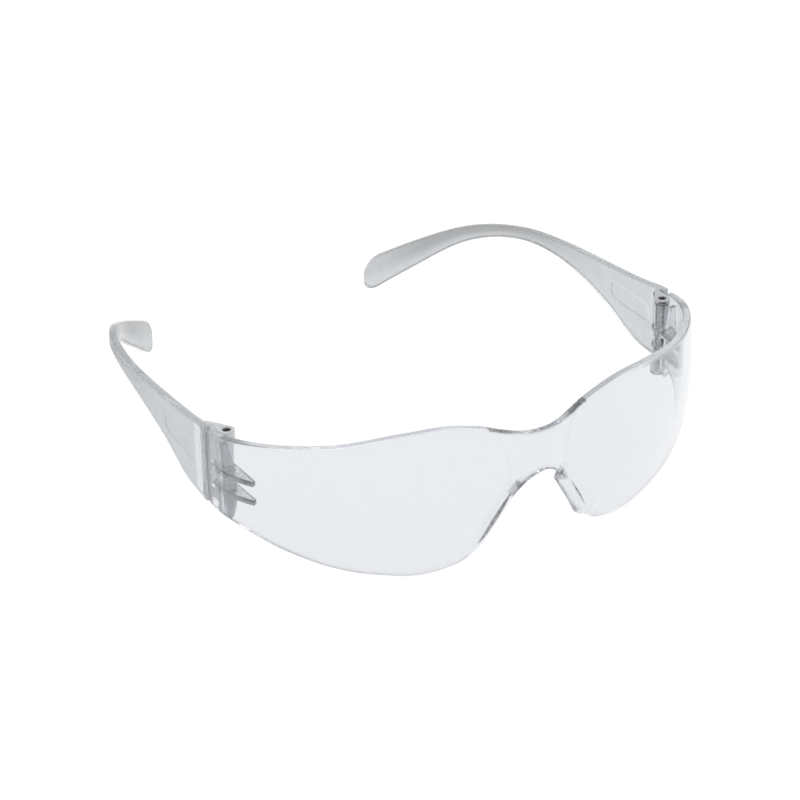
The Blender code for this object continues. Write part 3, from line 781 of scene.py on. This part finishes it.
def platePiece(name, outline, hole, low, high, edge, side, *rest):
    # the outline stacked in height, drawn in along its edges by quarter circles, and a round bore; the faces
    # above and below are each two polygons that meet beside the bore
    around = 48
    bend = np.linspace(0, math.pi / 2, 5)
    sink, inset = edge * (1 - np.sin(bend)), edge * (1 - np.cos(bend))
    level = list(np.concatenate([low + sink[::-1], high - sink]))
    ring = arc(hole, np.linspace(0, 2 * math.pi, around, endpoint=False))
    outer = [insetOutline(outline, distance) for distance in np.concatenate([inset[::-1], inset])]
    points = [hingePoints(flat, z, side) for flat, z in zip(outer + [ring, ring], level + [low, high])]
    count, first = len(outline), len(level) * len(outline)
    faces = [gridFaces(len(level), count), gridFaces(2, around)[:, ::-1] + first]
    away = np.degrees(np.arctan2(outline[:, 1], outline[:, 0]))
    a, b = int(np.argmin(np.abs(away + 20))), int(np.argmin(np.abs(np.abs(away) - 180)))
    near, far = 0, around // 2

    def span(start, end, size):
        return [(start + k) % size for k in range((end - start) % size + 1)]

    for outerFirst, ringFirst, above in ((first - count, first + around, True), (0, first, False)):
        for start, end, ringStart, ringEnd in ((a, b, near, far), (b, a, far, near)):
            loop = [outerFirst + k for k in span(start, end, count)]
            loop += [ringFirst + k for k in span(ringStart, ringEnd, around)[::-1]]
            faces.append(np.array([loop if above else loop[::-1]]))
    return addPiece(name, np.concatenate(points), faces, *rest)


def stopWall(side, name):
    # the fin's upright outline, stacked across its thickness with its edges drawn in at both ends
    middleY = pinY - h["barrelRadius"] - h["gap"] - h["wallThickness"] / 2
    station = stationAt(middleY)
    wallX = float(shieldAt(station, p["crownHeight"], p["wall"] - 0.3 * mm)[0])
    foot = float(cheek(station))
    inner = pinX - h["wallReach"]
    corners = [(wallX, foot + 0.4 * mm), (pinX + 0.6 * mm, foot - 0.9 * mm), (pinX, foot - 0.9 * mm),
               (inner + 0.1 * mm, foot + 2.6 * mm), (inner, foot + 7.5 * mm),
               (inner + 0.9 * mm, h["lugHeights"][1] + 3 * mm), (pinX + 0.7 * mm, h["wallTop"]),
               (wallX, h["wallTop"])]
    radii = [0.3 * mm, 0.4 * mm, 0.4 * mm, 2 * mm, 3 * mm, 3 * mm, 1 * mm, 0.3 * mm]
    outline = evenly(turnedRight(roundedChain(corners, radii, 6, closed=True)), 0.5 * mm)
    edge, half = 0.2 * mm, h["wallThickness"] / 2
    bend = np.linspace(0, math.pi / 2, 5)
    sink, inset = edge * (1 - np.cos(bend)), edge * (1 - np.sin(bend))
    rings = []
    for y, distance in zip([*(sink - half), *(half - sink[::-1])], [*inset, *inset[::-1]]):
        flat = insetOutline(outline, distance)
        rings.append(np.stack([side * flat[:, 0], middleY + y + 0 * flat[:, 0], flat[:, 1]], -1))
    return sweptPiece("stopWall" + name, np.array(rings), flatCap, walled, "shield", "clear_polycarbonate")


for side, name in ((1, "Left"), (-1, "Right")):
    half = h["lugThickness"] / 2
    for order, height in enumerate(h["lugHeights"]):
        platePiece(f"lug{name}{order + 1}", lugOutline(height), h["boreRadius"], height - half, height + half,
                   0.25 * mm, side, ribbed, "shield", "clear_polycarbonate")
    stopWall(side, name)
print("lugs and stop walls made")


# temples: a plate carried along its plan path, with its edges rounded and the tip's corners drawn in

# upper and lower hold the edges' heights at the eight stations below, in millimetres
templeShape = {
    "frontEase": 12 * mm, "straightLength": 15 * mm, "straightTurn": math.radians(92), "bendEase": 38 * mm,
    "earRadius": 72.5 * mm, "earLength": 35.5 * mm, "tipLength": 15 * mm, "wall": 2.3 * mm,
    "tipCorner": 4.6 * mm, "tipHeel": 4.4 * mm, "edgeRound": 0.5 * mm, "frostStart": 5.6 * mm,
    "upper": [37.3, 35.8, 34.4, 32.9, 31.0, 26.6, 18.6, 10.9],
    "lower": [15.9, 17.0, 23.1, 27.6, 27.6, 22.2, 10.6, 0.0],
    "columns": 260, "cornerColumns": 12, "faceRows": 44,
}
ovalShape = {"station": 15.2 * mm, "height": 27.4 * mm, "length": 18.0 * mm, "width": 5.6 * mm,
             "depth": 0.22 * mm, "tilt": math.radians(3.0), "edge": 0.5 * mm}

t = templeShape
rearX, rearY = pathAt(shieldPath, shieldLength, -t["wall"] / 2)
rearTurn = float(shieldPath["turn"][-1])
templeStart = (float(rearX) + math.cos(rearTurn) * h["gap"], float(rearY) + math.sin(rearTurn) * h["gap"])
templePath = planPath(templeStart, rearTurn, [
    (t["frontEase"], 2 * (t["straightTurn"] - rearTurn) / t["frontEase"], 0), (t["straightLength"], 0, 0),
    (t["bendEase"], 0, 1 / t["earRadius"]), (t["earLength"], 1 / t["earRadius"], 1 / t["earRadius"]),
    (t["tipLength"], 0, 0)])
templeLength = templePath["length"]
bendStart = t["frontEase"] + t["straightLength"]
earStart = bendStart + t["bendEase"]
stations = [0, t["frontEase"], bendStart, bendStart + t["bendEase"] / 2, earStart,
            earStart + t["earLength"] / 2, earStart + t["earLength"], templeLength]
upperEdge, lowerEdge = [smoothLine([(s / mm, z) for s, z in zip(stations, t[edge])])
                        for edge in ("upper", "lower")]


def templeRings(side):
    r, w = t["edgeRound"], t["wall"]
    longer = max(t["tipCorner"], t["tipHeel"])
    main = templeLength - longer
    front = drawnIn(r, np.sin(np.linspace(0, math.pi / 2, 6)))[:-1]   # close columns where the edge is round
    angle = np.linspace(0, math.pi / 2, t["cornerColumns"] + 1)[1:]
    s = np.concatenate([front, np.linspace(r, main, t["columns"]), main + longer * np.sin(angle)])
    # both corners of the tip are quarter circles, the upper one the larger
    low = lowerEdge(s) + drawnIn(t["tipHeel"], (s - templeLength + t["tipHeel"]) / t["tipHeel"])
    high = upperEdge(s) - drawnIn(t["tipCorner"], (s - templeLength + t["tipCorner"]) / t["tipCorner"])
    # section loop as height share, rise past it and outward offset: outer face, upper rim, inner face and
    # lower rim, each rim being two quarter circles
    face = np.linspace(0, 1, t["faceRows"])
    bend = np.linspace(0, math.pi / 2, 6)[1:-1]
    up, out, flat = r * np.sin(bend), w / 2 - r * (1 - np.cos(bend)), 0 * bend
    fraction = np.concatenate([face, flat + 1, flat + 1, face[::-1], flat, flat])
    rise = np.concatenate([0 * face, up, up[::-1], 0 * face, -up, -up[::-1]])
    offset = np.concatenate([0 * face + w / 2, out, -out[::-1], 0 * face - w / 2, -out, out[::-1]])
    z = (low + r)[:, None] + (high - low - 2 * r)[:, None] * fraction + rise
    # the wall is drawn in from both faces over the front edge and over the tip's end
    thin = 1 - drawnIn(r, np.maximum(1 - s / r, (s - (templeLength - r)) / r)) / (w / 2)
    # the blank oval on the outer face is sunk by its depth inside a soft edge
    q = ovalShape
    du, dv = s[:, None] - q["station"], z - q["height"]
    a = du * math.cos(q["tilt"]) + dv * math.sin(q["tilt"])
    b = -du * math.sin(q["tilt"]) + dv * math.cos(q["tilt"])
    half = q["length"] / 2 - q["width"] / 2
    distance = np.hypot(np.maximum(np.abs(a) - half, 0), b) - q["width"] / 2
    onOuter, onInner = offset > w / 2 - 0.01 * mm, offset < -w / 2 + 0.01 * mm
    outward = offset * thin[:, None] - onOuter * q["depth"] * fade(-q["edge"], 0, distance)
    x, y = pathAt(templePath, s[:, None] + 0 * z, outward)
    rings = np.stack([side * x, y + shift[1], z], -1)
    along = 0 * s[:, None]
    frost = onOuter * smoothStep(t["frostStart"] - 0.25 * mm, t["frostStart"] + 0.25 * mm, s)[:, None]
    marks = {"outerFace": frost, "innerFace": onInner + along, "underEdge": (rise < -0.1 * r) + along,
             "heightShare": fraction + along}
    # the ring starts at the middle of its lower rim, so that the end caps join outer to inner points
    return (np.roll(rings, len(bend), axis=1),
            [(mark, np.roll(values, len(bend), axis=1)) for mark, values in marks.items()])


def knucklePiece(name, low, high, side, *rest):
    # a tube's wall section, its corners rounded, carried once round the pin; the lowest one has a softer foot
    bore, radius = h["knuckleBore"], h["barrelRadius"]
    foot = 0.35 * mm if low == h["barrelBottom"] else 0.12 * mm
    section = roundedChain([(bore, low), (radius, low), (radius, high), (bore, high)],
                           [0.08 * mm, foot, 0.12 * mm, 0.08 * mm], 5, closed=True)
    section = evenly(section, 0.6 * mm)
    angle = np.linspace(0, 2 * math.pi, 64, endpoint=False)
    away, z = section[:, None, 0], section[:, None, 1]
    points = [side * (pinX + away * np.cos(angle)), pinY + away * np.sin(angle), z + 0 * angle]
    return addPiece(name, np.stack(points, -1), [gridFaces(len(section), len(angle), wrapRows=True)], *rest)


# where the web and the cap lie between the barrel and the temple, in plan from the pin
lensInner = float(shieldAt(shieldLength, h["barrelBottom"], p["wall"])[0])
lensRear = float(shieldAt(shieldLength, p["crownHeight"])[1]) + shift[1]
webOuter = lensInner - pinX - h["webGap"]
webFront = lensRear - pinY + h["gap"] + h["webFront"]
plateInner = float(pathAt(templePath, 1.5 * mm, -t["wall"] / 2)[0]) - pinX


def webPiece(side, name, *rest):
    # the plan outline stacked in height; at the lugs' heights its front is drawn back to a slot's round wall
    root = plateInner + 0.2 * t["wall"]
    inner = webOuter - h["webThickness"]
    corners = [(0.5 * h["barrelRadius"], 0.3 * mm), (webOuter, 0.3 * mm), (webOuter, webFront),
               (root, webFront + 0.4 * mm), (root, h["webLength"]),
               (inner + 0.9 * mm, h["webLength"] - 1.2 * mm), (inner, webFront - 1.0 * mm)]
    outline = roundedChain(corners, [0.1 * mm] * 2 + [0.3 * mm] * 5, 4, closed=True)
    outline = evenly(turnedRight(outline), 0.25 * mm)
    slot = h["lugTail"] + h["gap"] + 0.2 * mm
    rounded = np.sqrt(np.maximum(slot ** 2 - outline[:, 0] ** 2, 0))
    cut = np.stack([outline[:, 0], np.maximum(outline[:, 1], rounded)], -1)
    step = 0.01 * mm
    levels = [(float(lowerEdge(0)) + 0.6 * mm, outline)]
    for height in h["lugHeights"]:
        half = h["lugThickness"] / 2 + h["gap"]
        levels += [(height - half, outline), (height - half + step, cut), (height + half - step, cut),
                   (height + half, outline)]
    levels.append((hingeTop - 0.6 * h["capThickness"], outline))
    rings = [hingePoints(flat, z, side) for z, flat in levels]
    return sweptPiece("web" + name, np.array(rings), flatCap, *rest)


def capOutline():
    # round the barrel and back to the temple's inner face
    nose = arc(h["barrelRadius"] + 0.05 * mm, np.radians(np.linspace(20, -200, 28)))
    rear = roundedChain([nose[-1], (plateInner - 0.2 * mm, h["capLength"]),
                         (plateInner + 0.35 * t["wall"], h["capLength"]),
                         (plateInner + 0.45 * t["wall"], webFront + 0.45 * mm),
                         (webOuter + 0.05 * mm, webFront), nose[0]],
                        [0, 0.4 * mm, 0.4 * mm, 0.3 * mm, 0.5 * mm, 0], 5)
    return evenly(turnedRight(np.concatenate([nose, rear[1:-1]])), 0.3 * mm)


for side, name in ((1, "Left"), (-1, "Right")):
    body, slotName = sideName[side] + "_arm", "frosted_polycarbonate"
    look = (hinged[side], body, slotName)
    points, marks = templeRings(side)
    sweptPiece("temple" + name, points, ladderCap, frosted, body, slotName, ["temple_" + sideName[side]],
               marks=marks)
    capLow = hingeTop - h["capThickness"]
    capMiddle = hingeTop - h["capTopThickness"]
    half = h["lugThickness"] / 2 + h["gap"]
    lowLug, highLug = h["lugHeights"]
    spans = [(h["barrelBottom"], lowLug - half), (lowLug + half, highLug - half), (highLug + half, capLow)]
    for order, (low, high) in enumerate(spans):
        knucklePiece(f"knuckle{name}{order + 1}", low, high, side, *look)
    webPiece(side, name, *look)
    platePiece("cap" + name, capOutline(), h["recessRadius"], capLow, capMiddle + h["capOverlap"],
               h["capOverlap"], side, *look)
    platePiece("capTop" + name, capOutline(), h["recessRadius"], capMiddle, hingeTop, h["capEdge"], side,
               capped, body, slotName)
print("temples made")


# hinge screws: a slotted head and a threaded shank

screwShape = {"radius": 0.80 * mm, "headRadius": 1.15 * mm, "headHeight": 0.9 * mm, "headRound": 0.15 * mm,
              "rise": 0.25 * mm, "pitch": 0.48 * mm, "threadDepth": 0.16 * mm, "tipTaper": 0.35,
              "slotWidth": 0.35 * mm, "slotDepth": 0.35 * mm, "around": 64}


def screwPiece(side, name):
    # radius is a function of height and angle: the head's profile, then a shank whose radius follows a
    # triangle wave along height minus angle, so that the crest winds down as a helix
    q = screwShape
    top, tip = screwHigh.z + q["rise"], screwLow.z
    under = top - q["headHeight"]
    angle = np.linspace(0, 2 * math.pi, q["around"], endpoint=False)
    flat, bend = q["headRadius"] - q["headRound"], np.linspace(0, math.pi / 2, 6)
    profile = [(radius, top) for radius in np.linspace(0.02, 1, 14)[:-1] * flat]
    profile += list(zip(flat + q["headRound"] * np.sin(bend), top - q["headRound"] * (1 - np.cos(bend))))
    profile += [(q["headRadius"], under + 0.02 * mm), (q["headRadius"] - 0.02 * mm, under),
                (q["radius"], under - 0.02 * mm)]
    profile += [(q["radius"], z) for z in np.arange(under - 0.1 * mm, tip, -0.035 * mm)]
    profile += [(0.3 * q["radius"], tip), (0.02 * q["radius"], tip)]
    radius, height = [values[:, None] for values in np.array(profile).T]
    wave = 1 - np.abs(2 * ((height / q["pitch"] + angle / (2 * math.pi)) % 1.0) - 1)
    threaded = smoothStep(under - 0.3 * mm, under - 0.8 * mm, height) * (radius > 0.5 * q["radius"])
    taper = 1 - smoothStep(tip + 0.5 * mm, tip, height) * q["tipTaper"]
    across = (radius - q["threadDepth"] * (1 - wave) * threaded) * taper
    x, y = across * np.cos(angle), across * np.sin(angle)
    groove = smoothStep(q["slotWidth"] / 2 + 0.03 * mm, q["slotWidth"] / 2 - 0.03 * mm, np.abs(y))
    onTop = height > under + 0.3 * mm
    z = height - onTop * groove * np.clip(q["slotDepth"] - (top - height), 0, None)
    points = np.stack([side * (pinX + x), pinY + y, z + 0 * x], -1)
    return sweptPiece("hingeScrew" + name, points, flatCap, steel[side], "shield", "screw_steel",
                      ["hinge_screw_" + sideName[side]])


for side, name in ((1, "Left"), (-1, "Right")):
    screwPiece(side, name)
print("screws made")


# floor, world and lamps

# the room's walls are white, and its ceiling is darker above the given height of a direction
studio = {"floorSize": 3.0, "floorDrop": 0.3 * mm, "floorWhite": 0.86, "floorGlow": 1.04, "plain": 0.85,
          "worldForDiffuse": 0.9, "wallTop": 0.55, "ceiling": 0.8, "ceilingLight": 0.4}


def floorFinish():
    # white and even wherever it is seen, and a matt floor for the light that it throws back
    finish = Finish("studio floor")
    camera, glossy, through = finish.outputs("ShaderNodeLightPath", "Is Camera Ray", "Is Glossy Ray",
                                             "Is Transmission Ray")
    seen = camera.larger(glossy).larger(through)
    matt = finish.add("ShaderNodeBsdfDiffuse", {}, {"Color": (*[studio["floorWhite"]] * 3, 1)})
    glow = finish.add("ShaderNodeEmission", {}, {"Color": (1, 1, 1, 1), "Strength": studio["floorGlow"]})
    both = finish.add("ShaderNodeMixShader", {}, {0: seen * studio["plain"], 1: matt, 2: glow})
    finish.add("ShaderNodeOutputMaterial", {}, {"Surface": both})
    return finish.material


def studioWorld():
    world = bpy.data.worlds.new("studio world")
    bpy.context.scene.world = world
    finish = Finish("world", world)
    camera, diffuse = finish.outputs("ShaderNodeLightPath", "Is Camera Ray", "Is Diffuse Ray")
    spot, (x, y, z) = finish.place("Generated")
    darker = z.over(studio["wallTop"], studio["ceiling"]) * (1 - studio["ceilingLight"])
    strength = 1 - darker * (1 - camera - diffuse) - diffuse * (1 - studio["worldForDiffuse"])
    background = finish.add("ShaderNodeBackground", {}, {"Color": (1, 1, 1, 1), "Strength": strength})
    finish.add("ShaderNodeOutputWorld", {}, {"Surface": background})


def softLamp(name, place, size, power):
    # a round lamp that points at the middle of the floor
    lamp = bpy.data.lights.new(name, "AREA")
    lamp.shape, lamp.size, lamp.energy = "DISK", size, power
    item = bpy.data.objects.new(name, lamp)
    bpy.context.scene.collection.objects.link(item)
    item.location = place
    item.rotation_euler = (-Vector(place)).to_track_quat("-Z", "Y").to_euler()


floorMesh = bpy.data.meshes.new("floor")
edge, drop = studio["floorSize"], studio["floorDrop"]
floorCorners = [(x * edge, y * edge, -drop) for x, y in ((-1, -1), (1, -1), (1, 1), (-1, 1))]
floorMesh.from_pydata(floorCorners, [], [(0, 1, 2, 3)])
floor = bpy.data.objects.new("floor", floorMesh)
bpy.context.scene.collection.objects.link(floor)
floorMesh.materials.append(floorFinish())
studioWorld()
softLamp("keyLamp", (-0.9, -0.9, 1.6), 1.2, 12)
softLamp("fillLamp", (1.2, 0.3, 1.2), 1.0, 5)

# camera; right and up are how far left of and below the point midway between the caps it aims

cameraShape = {"azimuth": math.radians(-30.2), "elevation": math.radians(29.35), "roll": math.radians(-1.05),
               "distance": 785 * mm, "lens": 135.36, "right": 13.70 * mm, "up": 10.15 * mm}
c = cameraShape
back = Vector((math.sin(c["azimuth"]) * math.cos(c["elevation"]),
               -math.cos(c["azimuth"]) * math.cos(c["elevation"]), math.sin(c["elevation"])))
levelRight = Vector((math.cos(c["azimuth"]), math.sin(c["azimuth"]), 0))
levelUp = back.cross(levelRight)
right = levelRight * math.cos(c["roll"]) + levelUp * math.sin(c["roll"])
up = levelUp * math.cos(c["roll"]) - levelRight * math.sin(c["roll"])
aim = Vector((0, pinY, hingeTop)) - right * c["right"] - up * c["up"]
cameraData = bpy.data.cameras.new("camera")
cameraData.lens, cameraData.sensor_width = c["lens"], 36
cameraData.clip_start, cameraData.clip_end = 0.02, 20
camera = bpy.data.objects.new("camera", cameraData)
bpy.context.scene.collection.objects.link(camera)
turn = Matrix((right, up, back)).transposed().to_4x4()
camera.matrix_world = Matrix.Translation(aim + back * c["distance"]) @ turn
bpy.context.scene.camera = camera
bpy.context.scene.view_settings.view_transform = "Standard"
# light that enters the lens's rim crosses its wall many times on the way down
bounces = 160
bpy.context.scene.cycles.max_bounces = bounces
bpy.context.scene.cycles.transmission_bounces = bounces
bpy.context.scene.cycles.glossy_bounces = bounces
print("studio and camera made")
